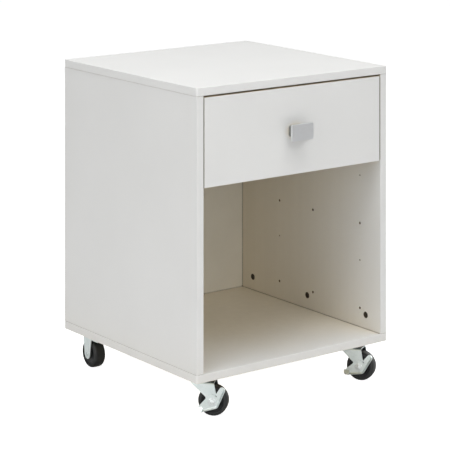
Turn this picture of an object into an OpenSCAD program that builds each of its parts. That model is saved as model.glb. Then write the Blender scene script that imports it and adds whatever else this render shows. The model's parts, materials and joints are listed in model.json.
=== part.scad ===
// Rolling pedestal cabinet: an open carcass of laminated board with one drawer on
// roller runners above an open compartment, standing on four swivel casters.
// The two front casters have side brakes.
//
// Millimetres. +X is to the right, +Y to the back and +Z up. The origin is on the
// floor, at the centre of the footprint, which runs from the handle's face to the
// rear edges of the panels.

/* [Carcass] */
// Width across the top and bottom panels
carcass_w = 450; // [430:1:600]
// Depth of the top and bottom panels
carcass_d = 441; // [441:1:520]
// Height from the underside of the bottom panel to the top face
carcass_h = 526; // [500:1:600]
// Thickness of the laminated boards
board_t = 15; // [15:0.5:18]
// How far the top and bottom panels stand proud of the side panels
reveal = 1; // [0.5:0.5:2]
// Plan radius of the corners of the top and bottom panels
corner_r = 4; // [2:1:8]
// Thickness of the hardboard back
back_t = 3; // [2.5:0.5:4]
// Distance from the rear edges to the hardboard back
back_inset = 3; // [2:0.5:6]

/* [Drawer] */
// Gap between the drawer front and the top panel
top_gap = 3.6; // [2:0.2:5]
// Gap between the drawer front and each side panel
side_gap = 2; // [1.5:0.5:4]
// Height of the drawer sides
box_h = 110; // [90:1:115]
// Length of the drawer sides
box_d = 370; // [360:1:380]
// Thickness of the drawer sides and back
box_t = 12; // [12:0.5:14]

/* [Handle] */
// Width of the handle plate
handle_w = 50; // [40:1:80]
// Height of the handle plate
handle_h = 30; // [24:1:40]
// Distance from the drawer front to the face of the handle plate
handle_out = 23; // [20:1:30]
// Thickness of the handle plate
handle_t = 3.5; // [3:0.5:5]
// Width of the neck behind the plate
neck_w = 28; // [24:1:36]
// Height of the neck behind the plate
neck_h = 19; // [12:0.2:20]

/* [Runners] */
// Length of each rail
rail_l = 350; // [330:1:350]
// Thickness of the rail sheet
rail_t = 1.2; // [1:0.1:1.4]
// Diameter of the nylon rollers
roller_d = 18; // [16:1:20]
// Distance of the front runner hole from the carcass front
hole_front = 61; // [55:1:70]
// Distance of the middle runner hole from the carcass front
hole_mid = 204; // [190:1:215]
// Distance of the rear runner hole from the carcass front
hole_rear = 311; // [300:1:330]

/* [Casters] */
// Height from the floor to the underside of the carcass
caster_h = 76; // [74:1:80]
// Diameter of the wheels
wheel_d = 55; // [50:1:57]
// Width of the wheels
wheel_w = 24; // [20:1:26]
// Distance from the swivel axis to the axle
trail = 26; // [25:1:30]
// Distance from the carcass sides to the swivel axes
caster_inset_x = 48; // [48:0.5:60]
// Distance from the carcass front and back to the swivel axes
caster_inset_y = 57; // [50:0.5:70]
// Direction in which the front left wheel trails, in degrees from +X
front_left_yaw = -48; // [-180:1:180]
// Direction in which the front right wheel trails, in degrees from +X
front_right_yaw = -59; // [-180:1:180]
// Direction in which the rear left wheel trails, in degrees from +X
rear_left_yaw = 88; // [-180:1:180]
// Direction in which the rear right wheel trails, in degrees from +X
rear_right_yaw = 112; // [-180:1:180]
// Turn of the front left brake lever at rest, in degrees, its foot going up
front_left_lever = 0; // [0:1:12]
// Turn of the front right brake lever at rest, in degrees, its foot going up
front_right_lever = 7; // [0:1:12]

/* [Hidden] */
$fn = 48;

// Clearances: board joints and fasteners, then turning parts
fit = 0.1;
run = 0.08;

// Carcass levels and faces
depth_all = carcass_d + handle_out - reveal;
front_y = handle_out - reveal - depth_all / 2;
back_y = front_y + carcass_d;
face_y = front_y + reveal;
floor_z = caster_h + board_t;
ceiling_z = caster_h + carcass_h - board_t;
side_x = carcass_w / 2 - reveal - board_t;
groove_depth = 5;
groove_y = back_y - back_inset - back_t - fit;

// Corner joints: three cam bolts and two dowels at each end of each side panel
cam_r = 6.25;
cam_deep = 12;
cam_rise = 27;
cam_rows = [44, 222, 400];
dowel_rows = [84, 362];
dowel_r = 4;
dowel_l = 30;
bolt_bite = 11;
bolt_r = 2.5;
cam_recess = 1;
joint_x = side_x + board_t / 2;

// Drawer levels: the side panels are drilled for three drawers of equal height
bottom_gap = 3;
front_gap = 2.6;
level_pitch = (ceiling_z - floor_z - top_gap - bottom_gap + front_gap) / 3;
runner_rise = 34;
shelf_rise = 92.4;
drawer_level = 2;
runner_hole_r = 2.5;
shelf_hole_r = 1.5;
runner_z = level_z(drawer_level);
front_z = runner_z - runner_rise;
front_h = level_pitch - front_gap;
front_w = 2 * (side_x - side_gap);

// Runner section, worked out on the right-hand side
runner_gap = 12.5;
roller_w = 7;
roller_play = 0.3;
lip_play = 0.7;
rail_h = 3 * rail_t + roller_d + roller_play + lip_play;
track_z = runner_z - rail_h / 2 + rail_t;
flange_z = track_z + roller_d + roller_play;
box_x = side_x - runner_gap;
roller_x = (side_x + box_x) / 2;
roller_inset = 12;
rail_y = face_y + board_t + 3;
drawer_rail_y = face_y + board_t + 1;
pin_r = 2.5;
rivet_r = 2;
head_t = 0.5;

// Drawer box
box_y = face_y + board_t;
box_z = track_z + 1;
bottom_rise = 8;
bottom_t = 3;
drawer_cam_y = 24;
drawer_cam_r = 6;
drawer_cam_deep = 9;
drawer_joint_rise = [30, 85];
drawer_screw_r = 1.75;
drawer_screw_l = 32;
rail_screw_y = [50, 190, 330];
rail_screw_l = 7.5;

// Handle screws
handle_screw_pitch = 16;
handle_screw_r = 2;
handle_screw_bite = 10;

// Caster stack, measured from the floor
plate_w = 45;
plate_d = 63;
plate_t = 2;
plate_holes = [35, 50];
caster_screw_r = 2;
caster_screw_l = 11;
kingpin_r = 5;
race_r = 12;
ball_r = 2;
ball_n = 14;
crown_z = caster_h - 13.5;
race_z = crown_z + 1.35;
race_gap = 0.25;
race_disc_r = 16;
race_disc_t = 4;
race_neck_r = 12;
axle_r = 3;
rivet_head_r = 4.2;
rivet_head_t = 1.2;
washer_r = 7.4;
washer_t = 1;

// Fork: the front corner of a leg, the knee below it and the rear corner, as X and Z
fork_t = 2;
fork_in = wheel_w / 2 + 1;
fork_out = fork_in + fork_t;
fork_bend_r = 5;
fork_boss_r = 10;
fork_front = -13;
braked_leg = [[fork_front, crown_z - 2.5], [trail - 12.5, crown_z - 26], [trail + 3.5, crown_z - 1.5]];
plain_leg = [[fork_front, crown_z - 5], [trail - 14, crown_z - 5.5], [trail + 14, crown_z - 5.5]];

// Wheel: rounded shoulders, and the joint between the core and the tread
tyre_edge = 4.5;
tyre_in_r = 19;
hub_r = 8;
hub_dish = 2.5;

// Brake lever, in a plane beside the fork, measured from the axle
lever_gap = 0.6;
lever_t = 1.5;
lever_hub = [0, 2.6];
lever_hub_r = 11;
lever_root = [5, -3];
lever_root_r = 8;
lever_tip = [19, 22.5];
lever_tip_r = 5.5;
lever_foot = [-20, -12.5];
lever_foot_r = 6;
flange_h = 2.5;
pedal_at = [-20, -8.5];
pedal_from = -9;
pedal_to = 2;
pedal_reach = 10;
pedal_tilt = 15;
pedal_droop = 45;

LEFT = -1;
RIGHT = 1;
FRONT = -1;
REAR = 1;

// Height of the runner screws of a drawer level, counted up from the bottom
function level_z(level) = floor_z + bottom_gap + runner_rise + level * level_pitch;

// Unit vector at an angle
function toward(a) = [cos(a), sin(a)];

// Angle of the line from one point to another
function heading(a, b) = atan2(b[1] - a[1], b[0] - a[0]);

// Where the line from point p touches a circle, on the side s = 1 or -1
function touch(p, centre, r, s) =
    centre + r * toward(heading(centre, p) + s * acos(r / norm(centre - p)));

// ---- Shared shapes ----

// A block between two opposite corners
module block(lo, hi) {
    translate(lo) cube(hi - lo);
}

// A round bar, or the material of a bore, from point p along +X, +Y or +Z
module bar_x(p, r, l) {
    translate(p) rotate([0, 90, 0]) cylinder(r = r, h = l);
}

module bar_y(p, r, l) {
    translate(p) rotate([-90, 0, 0]) cylinder(r = r, h = l);
}

module bar_z(p, r, l) {
    translate(p) cylinder(r = r, h = l);
}

// A copy on each side of the cabinet
module each_side() {
    children();
    mirror([1, 0, 0]) children();
}

// One side of the cabinet
module on_side(side) {
    mirror([side < 0 ? 1 : 0, 0, 0]) children();
}

// A rectangle with round corners, centred on x = 0 and starting at y = 0
module rounded_plan(w, d, r) {
    translate([-w / 2 + r, 0]) square([w - 2 * r, d]);
    translate([-w / 2, r]) square([w, d - 2 * r]);
    for (x = [-w / 2 + r, w / 2 - r], y = [r, d - r])
        translate([x, y]) circle(r);
}

// A strip that tapers between two round ends. Its straight edges run a little inside
// the circles, so that they cross them cleanly.
module tapered_strip(a, ra, b, rb) {
    inside = 0.97;
    across = toward(heading(a, b) + 90) * inside;
    polygon([a + ra * across, a - ra * across, b - rb * across, b + rb * across]);
    translate(a) circle(ra);
    translate(b) circle(rb);
}

// ---- Carcass ----

// A top or bottom panel, standing on z = 0 with its inner face up
module end_panel() {
    difference() {
        translate([0, front_y, 0])
            linear_extrude(board_t) rounded_plan(carcass_w, carcass_d, corner_r);
        block([-side_x - groove_depth, groove_y, board_t - groove_depth],
              [side_x + groove_depth, groove_y + back_t + 2 * fit, board_t + 1]);
        each_side() {
            for (y = cam_rows)
                bar_z([joint_x, front_y + y, board_t - bolt_bite], bolt_r, bolt_bite + 1);
            for (y = dowel_rows)
                bar_z([joint_x, front_y + y, board_t - dowel_l / 3], dowel_r, dowel_l);
        }
    }
}

module top_panel() {
    color("whitesmoke")
        translate([0, 0, caster_h + carcass_h]) mirror([0, 0, 1]) end_panel();
}

module bottom_panel() {
    color("whitesmoke")
        difference() {
            translate([0, 0, caster_h]) end_panel();
            at_caster_screws()
                bar_z([0, 0, caster_h - 1], caster_screw_r, caster_screw_l + 1);
        }
}

// The bores that a side panel shares at its two ends, for one row
module cam_bores(y, z, up) {
    bar_x([side_x - 1, front_y + y, z + up * cam_rise], cam_r, cam_deep + 1);
    bar_z([joint_x, front_y + y, min(z, z + up * cam_rise) - 1], dowel_r, cam_rise + 2);
}

module side_panel() {
    difference() {
        block([side_x, face_y, floor_z], [side_x + board_t, back_y, ceiling_z]);
        block([side_x - 1, groove_y, floor_z - 1],
              [side_x + groove_depth, groove_y + back_t + 2 * fit, ceiling_z + 1]);
        for (y = cam_rows) {
            cam_bores(y, floor_z, 1);
            cam_bores(y, ceiling_z, -1);
        }
        for (y = dowel_rows, z = [floor_z - dowel_l, ceiling_z - dowel_l * 2 / 3])
            bar_z([joint_x, front_y + y, z], dowel_r, dowel_l * 5 / 3);
        for (y = [hole_front, hole_mid, hole_rear], level = [0 : 2])
            bar_x([side_x - 1, front_y + y, level_z(level)], runner_hole_r, 13);
        for (y = [hole_front, hole_rear], level = [0 : 1])
            bar_x([side_x - 1, front_y + y, level_z(level) + shelf_rise], shelf_hole_r, 11);
    }
}

module side_panel_on(side) {
    color("whitesmoke") on_side(side) side_panel();
}

module back_panel() {
    reach = groove_depth - fit;
    color("gainsboro")
        block([-side_x - reach, groove_y + fit, floor_z - reach],
              [side_x + reach, groove_y + fit + back_t, ceiling_z + reach]);
}

// One cam lock, its round face towards -X, with a slot across it
module cam_lock(r, deep) {
    slot_w = 1.4;
    slot_deep = 2;
    difference() {
        rotate([0, 90, 0]) cylinder(r = r - fit, h = deep);
        block([-1, -r * 0.7, -slot_w / 2], [slot_deep, r * 0.7, slot_w / 2]);
        block([-1, -slot_w / 2, -r * 0.7], [slot_deep, slot_w / 2, r * 0.7]);
    }
}

// The hollow that takes the head of a cam bolt, which comes in along +Z
module cam_mouth() {
    mouth_r = 3.4;
    bar_z([0, 0, -10], mouth_r, 10 + mouth_r);
}

// A cam bolt standing on z = 0: thread below, shank, neck and head above
module cam_bolt(reach, bite) {
    bar_z([0, 0, fit - bite], bolt_r - fit, bite);
    bar_z([0, 0, 0], 3, reach - 6);
    bar_z([0, 0, reach - 6], 2, 4);
    bar_z([0, 0, reach - 2], 3, 4);
}

// The four corner joints: cam rows at the foot and head of both side panels
module at_cam_joints() {
    each_side() for (y = cam_rows) {
        translate([0, front_y + y, floor_z]) children();
        translate([0, front_y + y, ceiling_z]) mirror([0, 0, 1]) children();
    }
}

module cam_locks() {
    color("darkgray")
        at_cam_joints() difference() {
            translate([side_x + cam_recess, 0, cam_rise])
                cam_lock(cam_r, cam_deep - cam_recess - fit);
            translate([joint_x, 0, cam_rise]) cam_mouth();
        }
}

module cam_bolts() {
    color("silver")
        at_cam_joints() translate([joint_x, 0, 0]) cam_bolt(cam_rise, bolt_bite);
}

module wood_dowels() {
    color("burlywood")
        each_side() for (y = dowel_rows) {
            bar_z([joint_x, front_y + y, floor_z - dowel_l / 3 + fit], dowel_r - fit, dowel_l - fit);
            bar_z([joint_x, front_y + y, ceiling_z - dowel_l * 2 / 3], dowel_r - fit, dowel_l - fit);
        }
}

// ---- Runners ----

// Channel screwed to the side panel: web, track below and lip above
module cabinet_rail() {
    lip_z = flange_z + rail_t + lip_play;
    low_z = track_z - rail_t;
    track_w = runner_gap - 2.7;
    lip_w = 5;
    rail_y1 = rail_y + rail_l;
    difference() {
        union() {
            block([side_x - rail_t, rail_y, low_z], [side_x, rail_y1, lip_z + rail_t]);
            block([side_x - track_w, rail_y, low_z], [side_x, rail_y1, track_z]);
            block([side_x - lip_w, rail_y, lip_z], [side_x, rail_y1, lip_z + rail_t]);
        }
        for (y = [hole_front, hole_mid, hole_rear])
            bar_x([side_x - 2, front_y + y, runner_z], runner_hole_r, 4);
        bar_x([side_x - 2, rail_y + roller_inset, cabinet_roller_z()], rivet_r, 4);
    }
}

// Angle under the drawer side, with a flange that runs on the cabinet's roller
module drawer_rail() {
    flange_w = 8.5;
    rail_y1 = drawer_rail_y + rail_l;
    difference() {
        union() {
            block([box_x, drawer_rail_y, box_z - rail_t], [box_x + rail_t, rail_y1, flange_z + rail_t]);
            block([box_x - box_t, drawer_rail_y, box_z - rail_t], [box_x, rail_y1, box_z]);
            block([box_x, drawer_rail_y, flange_z],
                  [box_x + rail_t + flange_w, rail_y1, flange_z + rail_t]);
        }
        for (y = rail_screw_y)
            bar_z([box_x - box_t / 2, drawer_rail_y + y, box_z - 3], drawer_screw_r, 4);
        bar_x([box_x - 1, rail_y1 - roller_inset, drawer_roller_z()], rivet_r, 4);
    }
}

// Each roller stands a hair off the face that it runs on
function cabinet_roller_z() = flange_z - roller_d / 2 - 0.05;
function drawer_roller_z() = track_z + roller_d / 2 + 0.05;

// A roller pin, its rivet in the web at x = 0 and its head in front, towards +X
module roller_pin() {
    stem = roller_x - roller_w / 2 - box_x - rail_t;
    bar_x([-rail_t, 0, 0], rivet_r - fit / 2, rail_t + 1);
    bar_x([0, 0, 0], pin_r + 1, stem - fit);
    bar_x([0, 0, 0], pin_r, stem + roller_w + fit);
    bar_x([stem + roller_w + fit, 0, 0], pin_r + 1.5, head_t);
}

// Rounded nylon roller with a bore along X
module roller() {
    edge = 1;
    rotate([0, 90, 0]) difference() {
        union() {
            translate([0, 0, edge]) cylinder(r = roller_d / 2, h = roller_w - 2 * edge);
            cylinder(r = roller_d / 2 - edge, h = roller_w);
            for (z = [edge, roller_w - edge])
                translate([0, 0, z])
                    rotate_extrude() translate([roller_d / 2 - edge, 0]) circle(edge);
        }
        translate([0, 0, -1]) cylinder(r = pin_r + run, h = roller_w + 2);
    }
}

module cabinet_rail_on(side) {
    color("ghostwhite") on_side(side) cabinet_rail();
}

module drawer_rail_on(side) {
    color("ghostwhite") on_side(side) drawer_rail();
}

module cabinet_rail_pins() {
    color("silver")
        each_side() translate([side_x - rail_t, rail_y + roller_inset, cabinet_roller_z()])
            mirror([1, 0, 0]) roller_pin();
}

module drawer_rail_pins() {
    color("silver")
        each_side()
            translate([box_x + rail_t, drawer_rail_y + rail_l - roller_inset, drawer_roller_z()])
                roller_pin();
}

module cabinet_roller_on(side) {
    color("white") on_side(side)
        translate([roller_x - roller_w / 2, rail_y + roller_inset, cabinet_roller_z()]) roller();
}

module drawer_roller_on(side) {
    color("white") on_side(side)
        translate([roller_x - roller_w / 2, drawer_rail_y + rail_l - roller_inset, drawer_roller_z()])
            roller();
}

module cabinet_rail_screws() {
    color("silver")
        each_side() for (y = [hole_front, hole_mid, hole_rear]) {
            bar_x([side_x - rail_t - head_t, front_y + y, runner_z], 4, head_t);
            bar_x([side_x - rail_t, front_y + y, runner_z], runner_hole_r - fit, 12);
        }
}

module drawer_rail_screws() {
    color("silver")
        each_side() for (y = rail_screw_y) {
            translate([box_x - box_t / 2, drawer_rail_y + y, box_z - rail_t]) {
                bar_z([0, 0, -1.5], 3.2, 1.5);
                bar_z([0, 0, 0], drawer_screw_r - fit, rail_screw_l);
            }
        }
}

// ---- Drawer ----

// The slot for the drawer bottom, open to all four walls
module bottom_groove() {
    block([-box_x + box_t - groove_depth, box_y - groove_depth, box_z + bottom_rise - fit],
          [box_x - box_t + groove_depth, box_y + box_d - box_t + groove_depth,
           box_z + bottom_rise + bottom_t + fit]);
}

module drawer_front() {
    color("whitesmoke")
        difference() {
            block([-front_w / 2, face_y, front_z],
                  [front_w / 2, face_y + board_t, front_z + front_h]);
            bottom_groove();
            each_side() for (z = drawer_joint_rise)
                bar_y([box_x - box_t / 2, box_y - bolt_bite, box_z + z], bolt_r, bolt_bite + 1);
            for (x = [-1, 1])
                bar_y([x * handle_screw_pitch / 2, face_y - 1, front_z + front_h / 2],
                      handle_screw_r + fit, board_t + 2);
        }
}

module drawer_side() {
    difference() {
        block([box_x - box_t, box_y, box_z], [box_x, box_y + box_d, box_z + box_h]);
        bottom_groove();
        for (z = drawer_joint_rise) {
            bar_x([box_x - box_t - 1, box_y + drawer_cam_y, box_z + z], drawer_cam_r, drawer_cam_deep + 1);
            bar_y([box_x - box_t / 2, box_y - 1, box_z + z], 3.5, drawer_cam_y + 1);
            bar_x([box_x - box_t - 1, box_y + box_d - box_t / 2, box_z + z], drawer_screw_r, box_t + 2);
            bar_x([box_x - 2, box_y + box_d - box_t / 2, box_z + z], 3.5, 3);
        }
        for (y = rail_screw_y)
            bar_z([box_x - box_t / 2, drawer_rail_y + y, box_z - 1], drawer_screw_r, rail_screw_l + 1);
    }
}

module drawer_side_on(side) {
    color("whitesmoke") on_side(side) drawer_side();
}

module drawer_back() {
    color("whitesmoke")
        difference() {
            block([-box_x + box_t, box_y + box_d - box_t, box_z],
                  [box_x - box_t, box_y + box_d, box_z + box_h]);
            bottom_groove();
            each_side() for (z = drawer_joint_rise)
                bar_x([box_x - drawer_screw_l, box_y + box_d - box_t / 2, box_z + z],
                      drawer_screw_r, drawer_screw_l);
        }
}

module drawer_bottom() {
    reach = groove_depth - fit;
    color("gainsboro")
        block([-box_x + box_t - reach, box_y - reach, box_z + bottom_rise],
              [box_x - box_t + reach, box_y + box_d - box_t + reach,
               box_z + bottom_rise + bottom_t]);
}

// The joints between the drawer front and both drawer sides, bolts along +Y
module at_drawer_joints() {
    each_side() for (z = drawer_joint_rise)
        translate([0, box_y, box_z + z]) rotate([-90, 0, 0]) children();
}

module drawer_cam_locks() {
    color("darkgray")
        at_drawer_joints() difference() {
            translate([box_x - box_t + fit, 0, drawer_cam_y])
                cam_lock(drawer_cam_r, drawer_cam_deep - 2 * fit);
            translate([box_x - box_t / 2, 0, drawer_cam_y]) cam_mouth();
        }
}

module drawer_cam_bolts() {
    color("silver")
        at_drawer_joints()
            translate([box_x - box_t / 2, 0, 0]) cam_bolt(drawer_cam_y, bolt_bite);
}

module drawer_back_screws() {
    color("silver")
        each_side() for (z = drawer_joint_rise)
            translate([box_x, box_y + box_d - box_t / 2, box_z + z]) {
                bar_x([-2 + fit, 0, 0], 3.5 - fit, 2 - fit);
                bar_x([-drawer_screw_l + fit, 0, 0], drawer_screw_r - fit, drawer_screw_l - 2);
            }
}

module handle() {
    color("silver")
        translate([0, face_y, front_z + front_h / 2])
            difference() {
                union() {
                    block([-handle_w / 2, -handle_out, -handle_h / 2],
                          [handle_w / 2, handle_t - handle_out, handle_h / 2]);
                    block([-neck_w / 2, handle_t - handle_out - 1, -neck_h / 2],
                          [neck_w / 2, 0, neck_h / 2]);
                }
                for (x = [-1, 1])
                    bar_y([x * handle_screw_pitch / 2, -handle_screw_bite - 1, 0],
                          handle_screw_r, handle_screw_bite + 2);
            }
}

module handle_screws() {
    color("silver")
        for (x = [-1, 1])
            translate([x * handle_screw_pitch / 2, box_y, front_z + front_h / 2]) {
                bar_y([0, -board_t - handle_screw_bite, 0],
                      handle_screw_r - fit / 2, board_t + handle_screw_bite);
                bar_y([0, 0, 0], 4, 2);
            }
}

// ---- Casters: modelled with the swivel axis on Z and the wheel trailing to +X ----

// The swivel axis of one caster
module at_swivel(side, end) {
    middle_y = (front_y + back_y) / 2;
    translate([side * (carcass_w / 2 - caster_inset_x),
               middle_y + end * (carcass_d / 2 - caster_inset_y), 0])
        children();
}

module at_all_swivels() {
    for (side = [LEFT, RIGHT], end = [FRONT, REAR])
        at_swivel(side, end) children();
}

module at_plate_holes() {
    for (x = [-1, 1], y = [-1, 1])
        translate([x * plate_holes[0], y * plate_holes[1], 0] / 2) children();
}

module at_caster_screws() {
    at_all_swivels() at_plate_holes() children();
}

// The ring-shaped groove that the balls run in
module ball_race() {
    translate([0, 0, race_z]) rotate_extrude() translate([race_r, 0]) circle(ball_r + run);
}

// Mounting plate with the upper half of the swivel bearing below it
module caster_plate() {
    plate_z = caster_h - plate_t;
    difference() {
        union() {
            translate([0, -plate_d / 2, plate_z])
                linear_extrude(plate_t) rounded_plan(plate_w, plate_d, 5);
            bar_z([0, 0, race_z + race_gap], race_disc_r, race_disc_t);
            bar_z([0, 0, race_z + race_gap + 1], race_neck_r, plate_z - race_z - race_gap);
        }
        ball_race();
        bar_z([0, 0, race_z - 1], kingpin_r + fit / 2, caster_h - race_z + 2);
        at_plate_holes() bar_z([0, 0, plate_z - 1], caster_screw_r + fit, plate_t + 2);
    }
}

module caster_plates() {
    color("lightsteelblue") at_all_swivels() caster_plate();
}

module caster_kingpins() {
    under_crown = crown_z - fork_t;
    color("silver")
        at_all_swivels() {
            bar_z([0, 0, under_crown - 3], kingpin_r, caster_h - fit - under_crown + 3);
            bar_z([0, 0, under_crown - 3], kingpin_r + 3, 3 - fit);
        }
}

module caster_screws() {
    head_h = 1.8;
    color("silver")
        at_caster_screws() {
            bar_z([0, 0, caster_h - plate_t], caster_screw_r - fit, caster_screw_l);
            bar_z([0, 0, caster_h - plate_t - head_h], 3.3, head_h);
        }
}

// The fork's side outline: a wide crown over legs that run down to a boss round the
// axle. The leg's straight edges cross the boss cleanly, a little inside its rim.
module fork_outline(leg) {
    axle = [trail, wheel_d / 2];
    front = leg[0];
    knee = leg[1];
    rear = leg[2];
    touch_r = fork_boss_r * 0.98;
    polygon([[front[0], crown_z], front, knee, touch(knee, axle, touch_r, 1), axle,
             touch(rear, axle, touch_r, -1), rear, [rear[0], crown_z]]);
    translate(axle) circle(fork_boss_r);
}

// The fork's cross section: an upside-down U with bent corners
module fork_section(half_w, top, r) {
    translate([-half_w, 0]) square([2 * half_w, top - r]);
    translate([r - half_w, 0]) square([2 * (half_w - r), top]);
    for (x = [-1, 1])
        translate([x * (half_w - r), top - r]) circle(r);
}

module fork(leg) {
    color("lightsteelblue")
        difference() {
            union() {
                intersection() {
                    translate([0, fork_out, 0]) rotate([90, 0, 0])
                        linear_extrude(2 * fork_out) fork_outline(leg);
                    translate([fork_front, 0, 0]) rotate([90, 0, 90])
                        linear_extrude(leg[2][0] + fork_boss_r - fork_front) difference() {
                            fork_section(fork_out, crown_z, fork_bend_r);
                            fork_section(fork_in, crown_z - fork_t, fork_bend_r - fork_t);
                        }
                }
                bar_z([0, 0, crown_z - fork_t], race_disc_r, race_z - race_gap - crown_z + fork_t);
            }
            ball_race();
            bar_z([0, 0, crown_z - fork_t - 1], kingpin_r + run, 10);
            bar_y([trail, -fork_out - 1, wheel_d / 2], axle_r + fit, 2 * fork_out + 2);
        }
}

module bearing_balls() {
    color("silver")
        for (i = [0 : ball_n - 1])
            rotate(i * 360 / ball_n) translate([race_r, 0, race_z]) sphere(ball_r - run);
}

// Axle rivet: a head over a washer on the -Y side, and a low formed head on the +Y side
module axle(braked) {
    washer_y = -fork_out - washer_t - (braked ? lever_gap + lever_t + fit : 0);
    color("silver")
        translate([trail, 0, wheel_d / 2]) {
            bar_y([0, washer_y, 0], axle_r, fork_out - washer_y);
            bar_y([0, washer_y, 0], washer_r, washer_t);
            bar_y([0, washer_y - rivet_head_t, 0], rivet_head_r, rivet_head_t);
            bar_y([0, fork_out, 0], rivet_head_r, rivet_head_t);
        }
}

// Wheel core with a bore for the axle and a dished face on each side
module wheel_hub() {
    color("dimgray")
        translate([trail, 0, wheel_d / 2]) rotate([90, 0, 0]) difference() {
            union() {
                cylinder(r = tyre_in_r - fit / 2, h = wheel_w - 2 * hub_dish, center = true);
                cylinder(r = hub_r, h = wheel_w + 1, center = true);
            }
            cylinder(r = axle_r + run, h = wheel_w + 3, center = true);
        }
}

module tyre() {
    color("black")
        translate([trail, 0, wheel_d / 2]) rotate([90, 0, 0]) difference() {
            union() {
                cylinder(r = wheel_d / 2, h = wheel_w - 2 * tyre_edge, center = true);
                cylinder(r = wheel_d / 2 - tyre_edge, h = wheel_w, center = true);
                for (z = [-1, 1])
                    translate([0, 0, z * (wheel_w / 2 - tyre_edge)])
                        rotate_extrude() translate([wheel_d / 2 - tyre_edge, 0]) circle(tyre_edge);
            }
            cylinder(r = tyre_in_r, h = wheel_w + 2, center = true);
        }
}

// The lever's arm and foot, drawn in from their outer edges
module lever_arms(inset) {
    tapered_strip(lever_root, lever_root_r - inset, lever_tip, lever_tip_r - inset);
    tapered_strip(lever_root, lever_root_r - inset, lever_foot, lever_foot_r - inset);
}

module lever_face() {
    lever_arms(0);
    tapered_strip(lever_hub, lever_hub_r, lever_foot, lever_foot_r);
}

// What is cut from the front of the lever, so that a flange is left standing along the
// lower edges of its arm and foot
module lever_hollow() {
    past = 15;
    beyond_tip = lever_tip + past * toward(heading(lever_root, lever_tip));
    beyond_foot = lever_foot + past * toward(heading(lever_root, lever_foot));
    lever_arms(lever_t);
    polygon([lever_root, beyond_tip, lever_hub + [0, 3 * lever_hub_r],
             lever_hub - [3 * lever_hub_r, 0], beyond_foot]);
}

// The pad at the foot, which leans out and down from the lever
module lever_pedal() {
    root = lever_t / 3;
    translate([pedal_at[0], 0, pedal_at[1]]) rotate([0, -pedal_tilt, 0])
        rotate([pedal_droop, 0, 0])
            block([pedal_from, -pedal_reach, -lever_t / 2], [pedal_to, -root, lever_t / 2]);
}

module brake_lever(turn) {
    face_t = lever_t + flange_h;
    color("lightsteelblue")
        translate([trail, -fork_out - lever_gap, wheel_d / 2]) rotate([0, turn, 0]) difference() {
            union() {
                rotate([90, 0, 0]) linear_extrude(face_t) lever_face();
                lever_pedal();
            }
            difference() {
                translate([0, -lever_t, 0]) rotate([90, 0, 0])
                    linear_extrude(face_t) lever_hollow();
                lever_pedal();
            }
            bar_y([0, -face_t - 1, 0], axle_r + run, face_t + 2);
        }
}

// One caster's moving pieces stand at the angle in which its wheel trails
module caster_at(side, end) {
    left_yaw = end == FRONT ? front_left_yaw : rear_left_yaw;
    right_yaw = end == FRONT ? front_right_yaw : rear_right_yaw;
    at_swivel(side, end) rotate(side == LEFT ? left_yaw : right_yaw) children();
}

// ---- Nodes ----

top_panel();
bottom_panel();
side_panel_on(LEFT);  // left_side_panel
side_panel_on(RIGHT);  // right_side_panel
back_panel();
cam_locks();
cam_bolts();
wood_dowels();
cabinet_rail_on(LEFT);  // left_cabinet_rail
cabinet_rail_on(RIGHT);  // right_cabinet_rail
cabinet_rail_pins();
cabinet_rail_screws();
cabinet_roller_on(LEFT);  // left_cabinet_roller
cabinet_roller_on(RIGHT);  // right_cabinet_roller
drawer_front();
drawer_side_on(LEFT);  // drawer_left_side
drawer_side_on(RIGHT);  // drawer_right_side
drawer_back();
drawer_bottom();
drawer_cam_locks();
drawer_cam_bolts();
drawer_back_screws();
drawer_rail_on(LEFT);  // left_drawer_rail
drawer_rail_on(RIGHT);  // right_drawer_rail
drawer_rail_pins();
drawer_rail_screws();
drawer_roller_on(LEFT);  // left_drawer_roller
drawer_roller_on(RIGHT);  // right_drawer_roller
handle();
handle_screws();
caster_plates();
caster_kingpins();
caster_screws();
caster_at(LEFT, FRONT) fork(braked_leg);  // front_left_fork
caster_at(LEFT, FRONT) bearing_balls();  // front_left_balls
caster_at(LEFT, FRONT) axle(true);  // front_left_axle
caster_at(LEFT, FRONT) wheel_hub();  // front_left_hub
caster_at(LEFT, FRONT) tyre();  // front_left_tyre
caster_at(LEFT, FRONT) brake_lever(front_left_lever);  // front_left_brake
caster_at(RIGHT, FRONT) fork(braked_leg);  // front_right_fork
caster_at(RIGHT, FRONT) bearing_balls();  // front_right_balls
caster_at(RIGHT, FRONT) axle(true);  // front_right_axle
caster_at(RIGHT, FRONT) wheel_hub();  // front_right_hub
caster_at(RIGHT, FRONT) tyre();  // front_right_tyre
caster_at(RIGHT, FRONT) brake_lever(front_right_lever);  // front_right_brake
caster_at(LEFT, REAR) fork(plain_leg);  // rear_left_fork
caster_at(LEFT, REAR) bearing_balls();  // rear_left_balls
caster_at(LEFT, REAR) axle(false);  // rear_left_axle
caster_at(LEFT, REAR) wheel_hub();  // rear_left_hub
caster_at(LEFT, REAR) tyre();  // rear_left_tyre
caster_at(RIGHT, REAR) fork(plain_leg);  // rear_right_fork
caster_at(RIGHT, REAR) bearing_balls();  // rear_right_balls
caster_at(RIGHT, REAR) axle(false);  // rear_right_axle
caster_at(RIGHT, REAR) wheel_hub();  // rear_right_hub
caster_at(RIGHT, REAR) tyre();  // rear_right_tyre
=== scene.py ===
"""Looks for a rolling pedestal cabinet: a white laminated carcass with one drawer, on casters.

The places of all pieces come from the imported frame. The constants hold the finer shapes, in
millimetres and degrees unless a comment says otherwise. Colours are linear RGB.
"""

import json
import math

import bmesh
import bpy
from mathutils import Matrix, Vector


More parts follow.
